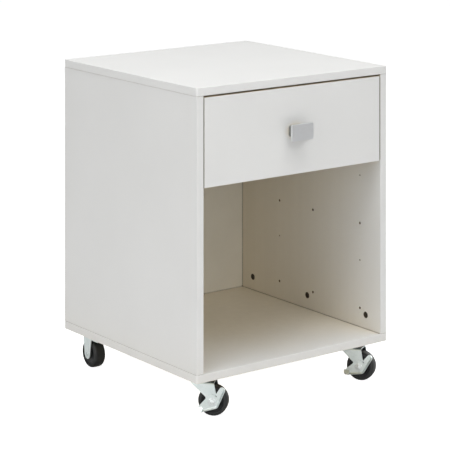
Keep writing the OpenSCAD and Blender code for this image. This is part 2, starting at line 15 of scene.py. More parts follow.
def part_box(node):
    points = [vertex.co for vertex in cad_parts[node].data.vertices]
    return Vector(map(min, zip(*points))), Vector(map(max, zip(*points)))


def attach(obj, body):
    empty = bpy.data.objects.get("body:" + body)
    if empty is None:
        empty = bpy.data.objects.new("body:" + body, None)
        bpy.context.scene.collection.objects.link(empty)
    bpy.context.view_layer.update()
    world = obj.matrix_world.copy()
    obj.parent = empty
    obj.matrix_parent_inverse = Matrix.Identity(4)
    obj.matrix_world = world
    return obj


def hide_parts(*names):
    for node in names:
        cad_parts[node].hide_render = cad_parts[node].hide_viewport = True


MM = 0.001
SAME = 1e-6          # metres within which two points count as one

# Boards
ARRIS = 0.9          # rounding along the edges of the thick boards
THIN_ARRIS = 0.5     # the same on the side panels and the drawer box
PLAN_CORNER = 4.3    # how far the round plan corners reach in from the sides
SKIN = 1.6           # a face deeper than this inside a board is raw core
SHARP = math.radians(60)

# Where painted shade turns surfaces warm or darker. Reaches are metres within which a nearby surface counts,
# and spans are the shares of open sky at which the change is complete and at which it starts
CABINET_REACH = 0.42
DRAWER_REACH = 0.12
SEAM_REACH = 0.004
HOLLOW_SPAN = (0.12, 0.68)
SEAM_SPAN = (0.30, 0.85)
PAINTED_SHADE_SPAN = (0.15, 0.55)
# Colour of the painted shade in tight joints between the boards
SEAM_SHADE_COLOUR = (0.22, 0.18, 0.13)
# How dark the painted shade on closed-in metal gets, as a share of the metal's colour
PAINTED_SHADE_FACTOR = 0.12

# The drawer has its own board and sheet materials, as its hollow, and so its painted warm shade, is shallower
NODE_MATERIAL = {"drawer_bottom": "drawer_sheet"}

# Handle
HANDLE_PLATE_T = 3.5
HANDLE_CORNER = 2.2
HANDLE_NECK_W = 28.0
HANDLE_NECK_H = 19.0

# Casters, in a frame with the swivel axis on Z and the wheel trailing to +X
CROWN = 62.5
SHEET = 2.0
FORK_OUT = 15.0
FORK_BEND = 5.0
FORK_FLAT = FORK_OUT - FORK_BEND
FORK_TURN = FORK_BEND * math.pi / 2
BEND_CUTS = 8
FORK_BOSS = 10.0
FORK_FRONT = -13.0
BRAKED_TOP = (60.0, 61.0)     # heights at which a braked leg's front and rear edges start
BRAKED_KNEE = (-12.5, 36.5)   # the bend in its front edge, from the axle and from the floor
BRAKED_REAR = 3.5             # its rear edge's start, from the axle
PLAIN_TOP = (57.5, 57.0)      # the same heights for a plain leg
PLAIN_HALF = 14.0             # half of a plain leg's width at its top
KINGPIN_BORE = 5.08
RACE_Z = 63.85
RACE_GAP = 0.25
RACE_R = 12.0
RACE_DEPTH = 1.95
RACE_LIP = 2.2
DISC_R = 16.0
PLATE_HALF = (22.5, 31.5)
PLATE_CORNER = 5.0
PLATE_T = 2.0
WHEEL_W = 24.0
TYRE_IN_R = 19.0
TYRE_SHOULDER = 6.0
TYRE_FALL = 0.2               # how much lower the tread is at its shoulders
HUB_BORE = 3.08
HUB_BOSS = 8.0
SHANK_R = 3.0
HEAD_R = 4.2
WASHER_R = 7.4
LEVER_GAP = 0.6
LEVER_T = 1.5
FLANGE_H = 2.5

# The brake lever's round ends, from the axle: centre and radius
LEVER_HUB = ((0.0, 2.6), 11.0)
LEVER_ROOT = ((5.0, -3.0), 8.0)
LEVER_TIP = ((19.0, 22.5), 5.5)
LEVER_FOOT = ((-20.0, -12.5), 6.0)
LEVER_TURN = {"front_left": 0.0, "front_right": 7.0}
LEVER_LOBE_START = 57.0
LEVER_NOTCH = [(6.9, 14.0), (9.3, 10.9), (9.4, 10.1), (8.9, 9.6), (8.2, 9.7)]
RIB_ENDS = ((10.5, 5.5), (17.5, 19.0))
RIB_R = 1.6
RIB_H = 0.9

# Brake pedal, from the axle
PEDAL_AT = (-20.0, -8.5)
PEDAL_X = (-9.0, 2.0)
PEDAL_REACH = (-10.0, -0.5)
PEDAL_CORNER = 4.0
PEDAL_DROOP = math.radians(60)
PEDAL_TILT = math.radians(-15)

# Studio. World strengths are for light, for reflections and for the camera
FLOOR_HALF = 30.0             # metres
FLOOR_GLOW = 0.92
WORLD_LIGHT = 0.07
WORLD_GLOSS = 0.45
WORLD_SEEN = 1.05

# Camera: level, with the lens shifted down so that upright edges stay parallel
LENS = 157.4
SENSOR = 36.0
YAW = 36.8
SHIFT = -1.0101
FROM_CORNER = Vector((-2052.7, -2827.9, 1090.6))

FRONT_CASTERS = ("front_left", "front_right")
ALL_CASTERS = FRONT_CASTERS + ("rear_left", "rear_right")


# ---- Materials ----

class Shader:
    """A Principled material that is built up node by node."""

    def __init__(self, name, roughness=0.5, metallic=0.0):
        self.material = bpy.data.materials.new(name)
        self.material.use_nodes = True
        self.tree = self.material.node_tree
        self.surface = self.tree.nodes["Principled BSDF"]
        self.surface.inputs["Roughness"].default_value = roughness
        self.surface.inputs["Metallic"].default_value = metallic
        self.place = self.node("ShaderNodeTexCoord").outputs["Object"]
        self.bumps = None

    def node(self, kind, **settings):
        made = self.tree.nodes.new(kind)
        for key, value in settings.items():
            setattr(made, key, value)
        return made

    def link(self, source, target):
        self.tree.links.new(source, target)

    def stretched(self, scale):
        """Object coordinates scaled along each axis."""
        mapping = self.node("ShaderNodeMapping")
        mapping.inputs["Scale"].default_value = scale
        self.link(self.place, mapping.inputs["Vector"])
        return mapping.outputs["Vector"]

    def noise(self, scale, detail=3.0, stretch=None):
        """Noise with about `scale` lumps per metre, from 0 to 1."""
        made = self.node("ShaderNodeTexNoise")
        made.inputs["Scale"].default_value = scale
        made.inputs["Detail"].default_value = detail
        made.inputs["Roughness"].default_value = 0.55
        self.link(self.stretched(stretch) if stretch else self.place, made.inputs["Vector"])
        return made.outputs["Fac"]

    def span(self, source, low, high, start=0.3, end=0.7):
        """A value in start..end turned into one in low..high."""
        made = self.node("ShaderNodeMapRange")
        made.inputs["From Min"].default_value = start
        made.inputs["From Max"].default_value = end
        made.inputs["To Min"].default_value = low
        made.inputs["To Max"].default_value = high
        self.link(source, made.inputs["Value"])
        return made.outputs["Result"]

    def mix(self, factor, first, second):
        """A colour between two colours or colour sockets."""
        made = self.node("ShaderNodeMix", data_type="RGBA")
        self.link(factor, made.inputs["Factor"])
        for slot, value in ((made.inputs[6], first), (made.inputs[7], second)):
            if isinstance(value, tuple):
                slot.default_value = (*value, 1.0)
            else:
                self.link(value, slot)
        return made.outputs[2]

    def colour(self, source):
        self.link(source, self.surface.inputs["Base Color"])

    def roughness(self, source):
        self.link(source, self.surface.inputs["Roughness"])

    def bump(self, height, distance_mm, strength=1.0):
        """Adds relief on top of what is already there."""
        made = self.node("ShaderNodeBump")
        made.inputs["Distance"].default_value = distance_mm * MM
        made.inputs["Strength"].default_value = strength
        self.link(height, made.inputs["Height"])
        if self.bumps:
            self.link(self.bumps, made.inputs["Normal"])
        self.bumps = made.outputs["Normal"]
        self.link(self.bumps, self.surface.inputs["Normal"])


def openness(shader, reach, span, samples=16):
    """0 where surfaces within reach close a place in, and 1 out in the open."""
    occlusion = shader.node("ShaderNodeAmbientOcclusion", samples=samples)
    occlusion.inputs["Distance"].default_value = reach
    return shader.span(occlusion.outputs["AO"], 0.0, 1.0, *span)


def seam_shade(shader, colour):
    """Darkens a colour in tight joints between the boards: painted shade where the joints close in."""
    return shader.mix(openness(shader, SEAM_REACH, SEAM_SPAN, samples=8), SEAM_SHADE_COLOUR, colour)


def melamine(name, reach):
    """White laminate: a fine pearled texture, and a warm painted shade deep inside a hollow."""
    shader = Shader(name, roughness=0.42)
    cloud = shader.span(shader.noise(5.0, detail=2.0), 0.0, 1.0)
    plain = shader.mix(cloud, (0.800, 0.800, 0.786), (0.822, 0.822, 0.808))
    streak = shader.span(shader.noise(60.0, detail=4.0, stretch=(1.0, 1.0, 0.035)), 0.0, 1.0)
    warm_shade = shader.mix(streak, (0.800, 0.695, 0.510), (0.840, 0.735, 0.550))
    # Deep inside the hollow the colour turns warm: painted shade
    shader.colour(seam_shade(shader, shader.mix(openness(shader, reach, HOLLOW_SPAN), warm_shade, plain)))
    shader.roughness(shader.span(shader.noise(900.0, detail=2.0), 0.36, 0.50))
    shader.bump(shader.noise(1500.0, detail=3.0), 0.05, 0.35)
    shader.bump(shader.noise(9.0, detail=1.0), 0.25, 0.15)
    return shader.material


def board_core():
    """Raw particle board, seen inside the bores and grooves."""
    shader = Shader("board_core", roughness=0.9)
    chips = shader.span(shader.noise(900.0, detail=4.0), 0.0, 1.0)
    shader.colour(shader.mix(chips, (0.09, 0.055, 0.03), (0.26, 0.17, 0.10)))
    shader.bump(shader.noise(1200.0, detail=3.0), 0.4, 0.8)
    return shader.material


def hardboard(name, reach):
    """Painted hardboard with a faint screen pattern."""
    shader = Shader(name, roughness=0.55)
    cloud = shader.span(shader.noise(14.0, detail=4.0), 0.0, 1.0)
    plain = shader.mix(cloud, (0.735, 0.735, 0.705), (0.770, 0.770, 0.740))
    warm_shade = shader.mix(cloud, (0.735, 0.675, 0.545), (0.775, 0.715, 0.585))
    # Deep inside the hollow the colour turns warm: painted shade
    shader.colour(seam_shade(shader, shader.mix(openness(shader, reach, HOLLOW_SPAN), warm_shade, plain)))
    shader.roughness(shader.span(shader.noise(400.0), 0.48, 0.62))
    shader.bump(shader.noise(700.0, detail=4.0, stretch=(1.0, 1.0, 0.4)), 0.08, 0.6)
    return shader.material


def dowel_wood():
    """Turned beech with its grain along the dowel."""
    shader = Shader("dowel_wood", roughness=0.75)
    grain = shader.span(shader.noise(700.0, detail=5.0, stretch=(1.0, 1.0, 0.06)), 0.0, 1.0)
    shader.colour(shader.mix(grain, (0.44, 0.29, 0.15), (0.66, 0.48, 0.29)))
    shader.bump(grain, 0.15, 0.5)
    return shader.material


def metal(name, dark, light, roughness, grain=(1.0, 1.0, 1.0), relief=0.006, shade_reach=0.0):
    """Plated or brushed metal: patchy colour, uneven sheen, fine scratches and a fine relief.

    Given a shade reach, places that are closed in within that many metres go darker: painted shade.
    """
    shader = Shader(name, metallic=1.0)
    patches = shader.span(shader.noise(45.0, detail=4.0), 0.0, 1.0)
    colour = shader.mix(patches, dark, light)
    # Painted shade where other parts close the metal in
    if shade_reach:
        shade_colour = tuple(channel * PAINTED_SHADE_FACTOR for channel in dark)
        colour = shader.mix(openness(shader, shade_reach, PAINTED_SHADE_SPAN), shade_colour, colour)
    shader.colour(colour)
    scratches = shader.noise(900.0, detail=5.0, stretch=grain)
    shader.roughness(shader.span(scratches, roughness - 0.07, roughness + 0.09))
    shader.bump(shader.noise(2600.0, detail=3.0, stretch=grain), relief, 0.5)
    return shader.material


def plastic(name, dark, light, roughness):
    """Moulded plastic or rubber: slight mottling and a fine mould texture."""
    shader = Shader(name)
    patches = shader.span(shader.noise(60.0), 0.0, 1.0)
    shader.colour(shader.mix(patches, dark, light))
    shader.roughness(shader.span(shader.noise(300.0), roughness - 0.06, roughness + 0.08))
    shader.bump(shader.noise(2500.0, detail=2.0), 0.04, 0.5)
    return shader.material


def white_steel():
    """Powder coat with its orange peel."""
    shader = Shader("white_steel", roughness=0.38)
    cloud = shader.span(shader.noise(20.0), 0.0, 1.0)
    shader.colour(shader.mix(cloud, (0.80, 0.80, 0.78), (0.84, 0.84, 0.82)))
    shader.roughness(shader.span(shader.noise(500.0), 0.30, 0.44))
    shader.bump(shader.noise(650.0, detail=2.0), 0.10, 0.5)
    return shader.material


def make_materials():
    """Every material by name. A name is a slot of the record, or a variant used only here."""
    return {
        "white_board": melamine("white_board", CABINET_REACH),
        "drawer_board": melamine("drawer_board", DRAWER_REACH),
        "board_core": board_core(),
        "hardboard": hardboard("hardboard", CABINET_REACH),
        "drawer_sheet": hardboard("drawer_sheet", DRAWER_REACH),
        "dowel_wood": dowel_wood(),
        "zinc_cast": metal("zinc_cast", (0.07, 0.06, 0.05), (0.13, 0.11, 0.09), 0.50,
                           relief=0.05),
        # Bright and caster steel darken where parts close them in: painted shade
        "bright_steel": metal("bright_steel", (0.72, 0.77, 0.77), (0.82, 0.86, 0.86), 0.30,
                              relief=0.003, shade_reach=0.008),
        "white_steel": white_steel(),
        "nylon": plastic("nylon", (0.78, 0.77, 0.72), (0.84, 0.83, 0.79), 0.40),
        "satin_handle": metal("satin_handle", (0.81, 0.82, 0.83), (0.84, 0.85, 0.86), 0.42,
                              grain=(0.03, 1.0, 1.0)),
        # A darker copy of the satin metal: painted shade on the handle's neck and chamfers
        "handle_shaded": metal("handle_shaded", (0.34, 0.36, 0.37), (0.40, 0.42, 0.43), 0.40),
        "caster_steel": metal("caster_steel", (0.74, 0.82, 0.81), (0.84, 0.90, 0.89), 0.32,
                              grain=(1.0, 1.0, 0.3), relief=0.003, shade_reach=0.03),
        "ball_steel": metal("ball_steel", (0.66, 0.67, 0.68), (0.74, 0.75, 0.76), 0.15),
        "wheel_core": plastic("wheel_core", (0.010, 0.0105, 0.011), (0.017, 0.018, 0.019), 0.42),
        "tread": plastic("tread", (0.010, 0.011, 0.011), (0.019, 0.020, 0.020), 0.50),
    }


# ---- Mesh helpers ----

def add_piece(name, bm, body, slots, stands_for, smooth=35.0):
    """Turns a bmesh, in metres and in the row frame, into a piece that rides on a body.

    It stands for the named CAD node. Edges that turn by more than `smooth` degrees stay sharp.
    """
    bmesh.ops.recalc_face_normals(bm, faces=bm.faces)
    mesh = bpy.data.meshes.new(name)
    bm.to_mesh(mesh)
    bm.free()
    mesh.shade_smooth()
    mesh.set_sharp_from_angle(angle=math.radians(smooth))
    piece = bpy.data.objects.new(name, mesh)
    bpy.context.scene.collection.objects.link(piece)
    piece.modifiers.new("flat_faces", "WEIGHTED_NORMAL").keep_sharp = True
    for slot in slots:
        mesh.materials.append(MATERIALS[slot])
    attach(piece, body)
    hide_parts(stands_for)


def ease(bm, edges, width, segments=3):
    """Rounds the given edges."""
    bmesh.ops.bevel(bm, geom=list(edges), offset=width * MM, segments=segments, profile=0.5,
                    affect="EDGES", clamp_overlap=True)


def sharp_edges(bm, angle=SHARP):
    """The edges at which two faces meet at more than an angle."""
    return [e for e in bm.edges if len(e.link_faces) == 2 and e.calc_face_angle(0.0) > angle]


def prism(outline, low, high):
    """A bmesh between two heights over a closed 2D outline, in millimetres."""
    bm = bmesh.new()
    rings = [[bm.verts.new(Vector((x, y, z)) * MM) for x, y in outline] for z in (low, high)]
    bm.faces.new(rings[0][::-1])
    bm.faces.new(rings[1])
    count = len(outline)
    for i in range(count):
        j = (i + 1) % count
        bm.faces.new((rings[0][i], rings[0][j], rings[1][j], rings[1][i]))
    return bm


def cuboid(low, high):
    """A box between two corners, in millimetres."""
    outline = [(low[0], low[1]), (high[0], low[1]), (high[0], high[1]), (low[0], high[1])]
    return prism(outline, low[2], high[2])


def lathe(profile, steps):
    """A closed (radius, height) profile in millimetres turned round the Y axis."""
    bm = bmesh.new()
    rings = []
    for i in range(steps):
        angle = math.tau * i / steps
        c, s = math.cos(angle), math.sin(angle)
        rings.append([bm.verts.new(Vector((r * c, y, r * s)) * MM) for r, y in profile])
    count = len(profile)
    for i in range(steps):
        ring, after = rings[i], rings[(i + 1) % steps]
        for a in range(count):
            b = (a + 1) % count
            bm.faces.new((ring[a], ring[b], after[b], after[a]))
    bmesh.ops.remove_doubles(bm, verts=bm.verts, dist=SAME)
    return bm


def joined(parts):
    """Several bmeshes as one."""
    whole = bmesh.new()
    for part in parts:
        mesh = bpy.data.meshes.new("part")
        part.to_mesh(mesh)
        part.free()
        whole.from_mesh(mesh)
        bpy.data.meshes.remove(mesh)
    return whole


def arc(centre, radius, start, end, steps):
    """Points along an arc, angles in degrees."""
    found = []
    for i in range(steps + 1):
        angle = math.radians(start + (end - start) * i / steps)
        found.append((centre[0] + radius * math.cos(angle), centre[1] + radius * math.sin(angle)))
    return found


def rounded(half_w, half_h, radius, steps):
    """The outline of a rectangle with round corners."""
    outline = []
    for k, (x, y) in enumerate(((1, 1), (-1, 1), (-1, -1), (1, -1))):
        centre = (x * (half_w - radius), y * (half_h - radius))
        outline += arc(centre, radius, 90 * k, 90 * k + 90, steps)
    return outline


def level_edge(edge):
    """True if both ends of an edge are at the same height."""
    return abs(edge.verts[0].co.z - edge.verts[1].co.z) < SAME


# ---- Boards ----

def on_edge(low, high, point, margin):
    """True if a point lies on one of the twelve edges of a box, within a margin per axis."""
    near = [min(abs(point[k] - low[k]), abs(high[k] - point[k])) < margin[k] for k in range(3)]
    return sum(near) >= 2


def board(node, body, arris, margin=(0.2, 0.2, 0.2), slot="white_board"):
    """A board cut as the CAD node is, with its outer edges eased and raw core in its bores."""
    low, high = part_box(node)
    bm = bmesh.new()
    bm.from_mesh(frame["nodes"][node].data)
    bmesh.ops.remove_doubles(bm, verts=bm.verts, dist=SAME)
    bmesh.ops.dissolve_limit(bm, angle_limit=math.radians(0.5), verts=bm.verts, edges=bm.edges)
    reach = [m * MM for m in margin]
    outer = [e for e in sharp_edges(bm) if all(on_edge(low, high, v.co, reach) for v in e.verts)]
    ease(bm, outer, arris)
    for face in bm.faces:
        centre = face.calc_center_median()
        depth = min(min(centre[k] - low[k], high[k] - centre[k]) for k in range(3))
        face.material_index = 1 if depth > SKIN * MM else 0
    add_piece(node + "_look", bm, body, (slot, "board_core"), node)


def carcass():
    """The four thick boards. The top and bottom have round plan corners."""
    plan = (PLAN_CORNER, PLAN_CORNER, 0.2)
    board("top_panel", "cabinet", ARRIS, plan)
    board("bottom_panel", "cabinet", ARRIS, plan)
    board("left_side_panel", "cabinet", THIN_ARRIS)
    board("right_side_panel", "cabinet", THIN_ARRIS)


def drawer():
    """The drawer's front and box."""
    board("drawer_front", "drawer", ARRIS, slot="drawer_board")
    for node in ("drawer_left_side", "drawer_right_side", "drawer_back"):
        board(node, "drawer", THIN_ARRIS, slot="drawer_board")


# ---- Handle ----

def handle():
    """A flat satin plate with a chamfered face, cast in one with its neck."""
    low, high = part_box("handle")
    middle = (low + high) / 2 / MM
    size = (high - low) / MM
    face_y = low.y / MM
    outline = rounded(size.x / 2, size.z / 2, HANDLE_CORNER, 5)
    plate = prism(outline, 0, HANDLE_PLATE_T)
    ease(plate, sharp_edges(plate), 0.7)
    half_w = HANDLE_NECK_W / 2
    half_h = HANDLE_NECK_H / 2
    neck = cuboid((-half_w, -half_h, HANDLE_PLATE_T - 0.5), (half_w, half_h, size.y))
    ease(neck, [e for e in neck.edges if not level_edge(e)], 2.0, 4)
    bm = joined((plate, neck))
    stand = Matrix.Rotation(math.radians(-90), 4, "X")
    place = Matrix.Translation(Vector((middle.x, face_y, middle.z)) * MM)
    bm.normal_update()
    # The neck and the chamfered rim take the darker copy of the satin metal: painted shade
    for face in bm.faces:
        behind = face.calc_center_median().z > HANDLE_PLATE_T * MM
        chamfer = 0.3 < abs(face.normal.z) < 0.95
        face.material_index = 1 if behind or chamfer else 0
    bmesh.ops.transform(bm, matrix=place @ stand, verts=bm.verts)
    add_piece("handle_look", bm, "drawer", ("satin_handle", "handle_shaded"), "handle")


# ---- Casters ----

def caster_frame(name):
    """The matrix of a caster's own frame, and its axle's place along X and Z, in millimetres."""
    joints = {j["name"]: j for j in frame["joints"]}
    swivel = Vector(joints[name + "_swivel"]["pos_m"])
    spin = joints[name + "_wheel_spin"]
    axle = Vector(spin["pos_m"])
    across = Vector(spin["axis"]).normalized()
    up = Vector((0, 0, 1))
    along = across.cross(up)
    matrix = Matrix((along, across, up)).transposed().to_4x4()
    matrix.translation = Vector((swivel.x, swivel.y, 0))
    trail = (axle - swivel).dot(along) / MM
    return matrix, trail, axle.z / MM


def placed(bm, matrix, offset=(0, 0, 0)):
    """Moves a bmesh by an offset in millimetres and then into the row frame."""
    shift = Matrix.Translation(Vector(offset) * MM)
    bmesh.ops.transform(bm, matrix=matrix @ shift, verts=bm.verts)
    return bm


def tangent(point, centre, radius, side):
    """The direction from a circle's centre to where a line from a point touches it, in degrees."""
    away = Vector(point) - Vector(centre)
    angle = math.atan2(away.y, away.x) + side * math.acos(radius / away.length)
    return math.degrees(angle)


def fork_leg(axle, braked):
    """A leg's outline in X and Z: from its front corner past the knee, round the boss and up."""
    if braked:
        front = (FORK_FRONT, BRAKED_TOP[0])
        knee = (axle[0] + BRAKED_KNEE[0], BRAKED_KNEE[1])
        rear = (axle[0] + BRAKED_REAR, BRAKED_TOP[1])
    else:
        front = (FORK_FRONT, PLAIN_TOP[0])
        knee = (axle[0] - PLAIN_HALF, PLAIN_TOP[1])
        rear = (axle[0] + PLAIN_HALF, PLAIN_TOP[1])
    first = tangent(knee, axle, FORK_BOSS, 1)
    last = tangent(rear, axle, FORK_BOSS, -1)
    while last < first:
        last += 360
    return [front, knee] + arc(axle, FORK_BOSS, first, last, 24) + [rear]


def unfolded(z):
    """How far a leg's height lies from the crown's centre line in the flat blank."""
    return FORK_FLAT + FORK_TURN + CROWN - FORK_BEND - z


def fold(distance, depth):
    """A point of the folded sheet in Y and Z, at a depth below its outer face."""
    if distance <= FORK_FLAT:
        return distance, CROWN - depth
    if distance <= FORK_FLAT + FORK_TURN:
        angle = (distance - FORK_FLAT) / FORK_BEND
        reach = FORK_BEND - depth
        return FORK_FLAT + reach * math.sin(angle), CROWN - FORK_BEND + reach * math.cos(angle)
    return FORK_OUT - depth, CROWN - FORK_BEND - (distance - FORK_FLAT - FORK_TURN)


def fork_half(axle, braked, side):
    """Half of the fork's sheet: a flat blank with eased rims, folded down on one side."""
    leg = [(x, unfolded(z)) for x, z in fork_leg(axle, braked)]
    blank = [(leg[0][0], 0.0)] + leg + [(leg[-1][0], 0.0)] + arc((0, 0), KINGPIN_BORE, 0, 180, 12)
    bm = prism(blank, 0.0, SHEET)
    rims = [e for e in sharp_edges(bm) if level_edge(e) and max(v.co.y for v in e.verts) > SAME]
    ease(bm, rims, 0.35, 2)
    walls = [f for f in bm.faces if all(abs(v.co.y) < SAME for v in f.verts)]
    bmesh.ops.delete(bm, geom=walls, context="FACES")
    for step in range(BEND_CUTS + 1):
        cut = (FORK_FLAT + FORK_TURN * step / BEND_CUTS) * MM
        geometry = list(bm.verts) + list(bm.edges) + list(bm.faces)
        bmesh.ops.bisect_plane(bm, geom=geometry, plane_co=(0, cut, 0), plane_no=(0, 1, 0))
    for vert in bm.verts:
        y, z = fold(vert.co.y / MM, SHEET - vert.co.z / MM)
        vert.co.y, vert.co.z = side * y * MM, z * MM
    return bm


def upright(profile):
    """A closed (radius, Z) profile turned round the Z axis."""
    bm = lathe(profile, 64)
    bmesh.ops.transform(bm, matrix=Matrix.Rotation(math.radians(90), 4, "X"), verts=bm.verts)
    return bm


def groove(rim_z, depth):
    """The race's cross section between its inner and outer lips."""
    wall_z = rim_z + 0.55 * depth
    return [(RACE_R + RACE_LIP, rim_z), (RACE_R + 1.6, wall_z), (RACE_R, rim_z + depth),
            (RACE_R - 1.6, wall_z), (RACE_R - RACE_LIP, rim_z)]


def fork(name, matrix, axle):
    """The stamped fork: a folded sheet with the lower bearing cup on its crown."""
    rim = RACE_Z - RACE_GAP
    under = CROWN - SHEET
    wall = [(DISC_R - 0.9, under), (DISC_R - 0.2, under + 0.4), (DISC_R, under + 1.2),
            (DISC_R, rim - 0.8), (DISC_R - 0.4, rim - 0.2), (DISC_R - 1.0, rim)]
    cup = upright([(KINGPIN_BORE, under)] + wall + groove(rim, -RACE_DEPTH)
                  + [(KINGPIN_BORE, rim)])
    braked = name in FRONT_CASTERS
    sheet = joined((fork_half(axle, braked, 1), fork_half(axle, braked, -1)))
    bmesh.ops.remove_doubles(sheet, verts=sheet.verts, dist=SAME)
    bm = placed(joined((sheet, cup)), matrix)
    add_piece(name + "_fork_look", bm, name + "_caster", ("caster_steel",), name + "_fork",
              smooth=50.0)


def axle_rivet(name, matrix, axle):
    """The axle: a shank, a washer and a domed head at one end, a rolled hollow head at the other."""
    rest = LEVER_GAP + LEVER_T + 0.1 if name in FRONT_CASTERS else 0.0
    seat = -FORK_OUT - rest
    far = FORK_OUT
    domed = [(0.0, seat - 2.2), (1.6, seat - 2.15), (3.0, seat - 1.9), (HEAD_R - 0.2, seat - 1.4),
             (HEAD_R, seat - 1.0)]
    washer = [(WASHER_R - 1.4, seat - 1.0), (WASHER_R - 0.4, seat - 0.8),
              (WASHER_R, seat - 0.35), (WASHER_R, seat)]
    shank = [(SHANK_R, seat), (SHANK_R, far)]
    rolled = [(HEAD_R, far), (HEAD_R, far + 0.3), (HEAD_R - 0.4, far + 0.8), (3.1, far + 1.2),
              (2.5, far + 1.0), (2.2, far + 0.2), (2.0, far - 3.0), (0.0, far - 3.2)]
    profile = domed + washer + shank + rolled
    bm = placed(lathe(profile, 64), matrix, (axle[0], 0, axle[1]))
    add_piece(name + "_axle_look", bm, name + "_caster", ("bright_steel",), name + "_axle",
              smooth=40.0)


def tyre(name, matrix, axle, radius):
    """The tread: a slightly crowned band with round shoulders and a moulded ring on each side."""
    half = WHEEL_W / 2
    inner = TYRE_IN_R
    side = [(inner, half - 2.4), (inner + 0.5, half - 2.2), (inner + 0.9, half - 0.5),
            (inner + 1.5, half - 0.1), (inner + 2.4, half)]
    turns = [math.radians(10 * k) for k in range(9)]
    corner = [(radius - TYRE_FALL - TYRE_SHOULDER + TYRE_SHOULDER * math.sin(turn),
               half - TYRE_SHOULDER + TYRE_SHOULDER * math.cos(turn)) for turn in turns]
    crown = [(radius - 0.06, 3.6), (radius, 1.2)]
    upper = side + corner + crown
    profile = upper + [(r, -y) for r, y in reversed(upper)]
    bm = placed(lathe(profile, 96), matrix, (axle[0], 0, axle[1]))
    add_piece(name + "_tyre_look", bm, name + "_wheel", ("tread",), name + "_tyre", smooth=40.0)


def hub(name, matrix, axle):
    """The wheel's core: a dished face with a raised boss and a step inside the tread."""
    half = WHEEL_W / 2
    upper = [(HUB_BORE, half + 0.5), (HUB_BOSS - 1.0, half + 0.5), (HUB_BOSS - 0.3, half + 0.2),
             (HUB_BOSS, half - 0.6), (HUB_BOSS + 0.8, half - 2.0), (HUB_BOSS + 1.8, half - 2.6),
             (14.2, half - 2.6), (15.4, half - 2.3), (16.4, half - 1.5), (18.2, half - 1.4),
             (18.7, half - 1.9), (18.95, half - 2.5)]
    profile = upper + [(r, -y) for r, y in reversed(upper)]
    bm = placed(lathe(profile, 96), matrix, (axle[0], 0, axle[1]))
    add_piece(name + "_hub_look", bm, name + "_wheel", ("wheel_core",), name + "_hub",
              smooth=40.0)


def heading(start, end):
    """The direction from one point to another, in degrees."""
    return math.degrees(math.atan2(end[1] - start[1], end[0] - start[0]))


def lean(first, second):
    """How far the common tangent of two circles leans in from being parallel, in degrees."""
    apart = (Vector(second[0]) - Vector(first[0])).length
    return math.degrees(math.asin((first[1] - second[1]) / apart))


def lever_angles():
    """The angles at which the lever's edges leave its round ends."""
    arm = heading(LEVER_ROOT[0], LEVER_TIP[0])
    foot = heading(LEVER_ROOT[0], LEVER_FOOT[0]) + 360
    lobe = heading(LEVER_HUB[0], LEVER_FOOT[0]) + 360
    return {
        "tip": arm,
        "arm_low": arm - 90 + lean(LEVER_ROOT, LEVER_TIP),
        "arm_high": arm + 90 - lean(LEVER_ROOT, LEVER_TIP),
        "foot": foot,
        "foot_low": foot + 90 - lean(LEVER_ROOT, LEVER_FOOT),
        "foot_high": lobe - 90 + lean(LEVER_HUB, LEVER_FOOT),
    }


def lever_outline():
    """The brake lever's face: the arm, a relief notch, the lobe round the axle and the foot."""
    angles = lever_angles()
    return (arc(*LEVER_TIP, angles["arm_low"], angles["arm_high"], 14) + LEVER_NOTCH
            + arc(*LEVER_HUB, LEVER_LOBE_START, angles["foot_high"], 10)
            + arc(*LEVER_FOOT, angles["foot_high"], angles["foot_low"], 12)
            + arc(*LEVER_ROOT, angles["foot_low"], angles["arm_low"] + 360, 8))


def flange():
    """The bent-out lip along the lower edges of the lever's foot and arm, sloping to its rim."""
    angles = lever_angles()
    rim = LEVER_T + FLANGE_H
    section = [(0.0, 0.3), (0.0, rim - 0.4), (0.3, rim - 0.1), (0.8, rim), (1.3, rim - 0.3),
               (1.8, LEVER_T + 1.2), (2.4, LEVER_T + 0.4), (3.4, LEVER_T - 0.1), (3.4, 0.3)]
    spans = ((LEVER_FOOT, angles["foot"], angles["foot_low"]),
             (LEVER_ROOT, angles["foot_low"], angles["arm_low"] + 360),
             (LEVER_TIP, angles["arm_low"] + 360, angles["tip"] + 360))
    bm = bmesh.new()
    rings = []
    for (centre, radius), start, end in spans:
        for step in range(11):
            angle = math.radians(start + (end - start) * step / 10)
            way = Vector((math.cos(angle), math.sin(angle)))
            spots = [Vector(centre) + (radius - inset) * way for inset, _ in section]
            rings.append([bm.verts.new(Vector((spot.x, spot.y, lift)) * MM)
                          for spot, (_, lift) in zip(spots, section)])
    count = len(section)
    for before, after in zip(rings, rings[1:]):
        for k in range(count):
            n = (k + 1) % count
            bm.faces.new((before[k], before[n], after[n], after[k]))
    bm.faces.new(rings[0])
    bm.faces.new(rings[-1][::-1])
    return bm


def capsule(start, end, radius):
    """The outline at a radius round the line between two points."""
    way = heading(start, end)
    return arc(start, radius, way + 90, way + 270, 8) + arc(end, radius, way - 90, way + 90, 8)


def pedal():
    """The pad at the lever's foot, with round corners, leaning out and down."""
    low_x, high_x = PEDAL_X
    end, root = PEDAL_REACH
    corner_y = end + PEDAL_CORNER
    outline = ([(high_x, root), (low_x, root)]
               + arc((low_x + PEDAL_CORNER, corner_y), PEDAL_CORNER, 180, 270, 6)
               + arc((high_x - PEDAL_CORNER, corner_y), PEDAL_CORNER, 270, 360, 6))
    bm = prism(outline, -LEVER_T / 2, LEVER_T / 2)
    ease(bm, [e for e in sharp_edges(bm) if level_edge(e)], 0.4)
    droop = Matrix.Rotation(PEDAL_DROOP, 4, "X")
    tilt = Matrix.Rotation(PEDAL_TILT, 4, "Y")
    place = Matrix.Translation(Vector((PEDAL_AT[0], 0, PEDAL_AT[1])) * MM)
    bmesh.ops.transform(bm, matrix=place @ tilt @ droop, verts=bm.verts)
    return bm


